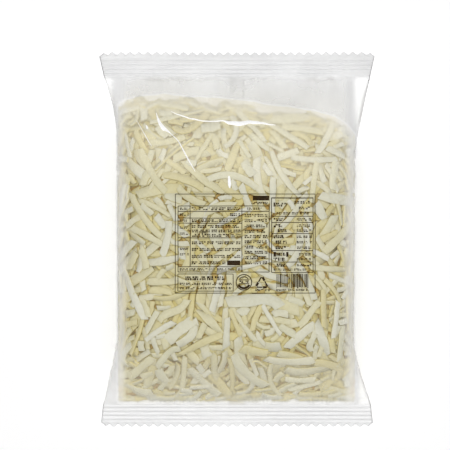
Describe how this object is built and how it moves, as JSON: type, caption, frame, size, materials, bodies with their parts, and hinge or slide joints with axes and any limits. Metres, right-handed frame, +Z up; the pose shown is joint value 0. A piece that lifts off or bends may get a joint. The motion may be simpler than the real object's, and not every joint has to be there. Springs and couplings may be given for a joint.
{
  "type": "bag of shredded cheese",
  "caption": "Sealed clear pillow bag of shredded cheese, lying flat on its back, with a crimped toothed seal at each end and a plain printed label panel.",
  "frame": {"origin": "centre of the bag's outline, on the surface it lies on", "axes": "+X across the bag, towards the right side of the shown face; +Y along the bag, towards its top seal; +Z up, out of the shown face"},
  "size_m": [0.2216, 0.3016, 0.0579],
  "materials": {
    "bag": "clear thin film, satin, over pale yellow shredded cheese"
  },
  "bodies": {
    "root": {"bag": "bag"}
  },
  "joints": []
}
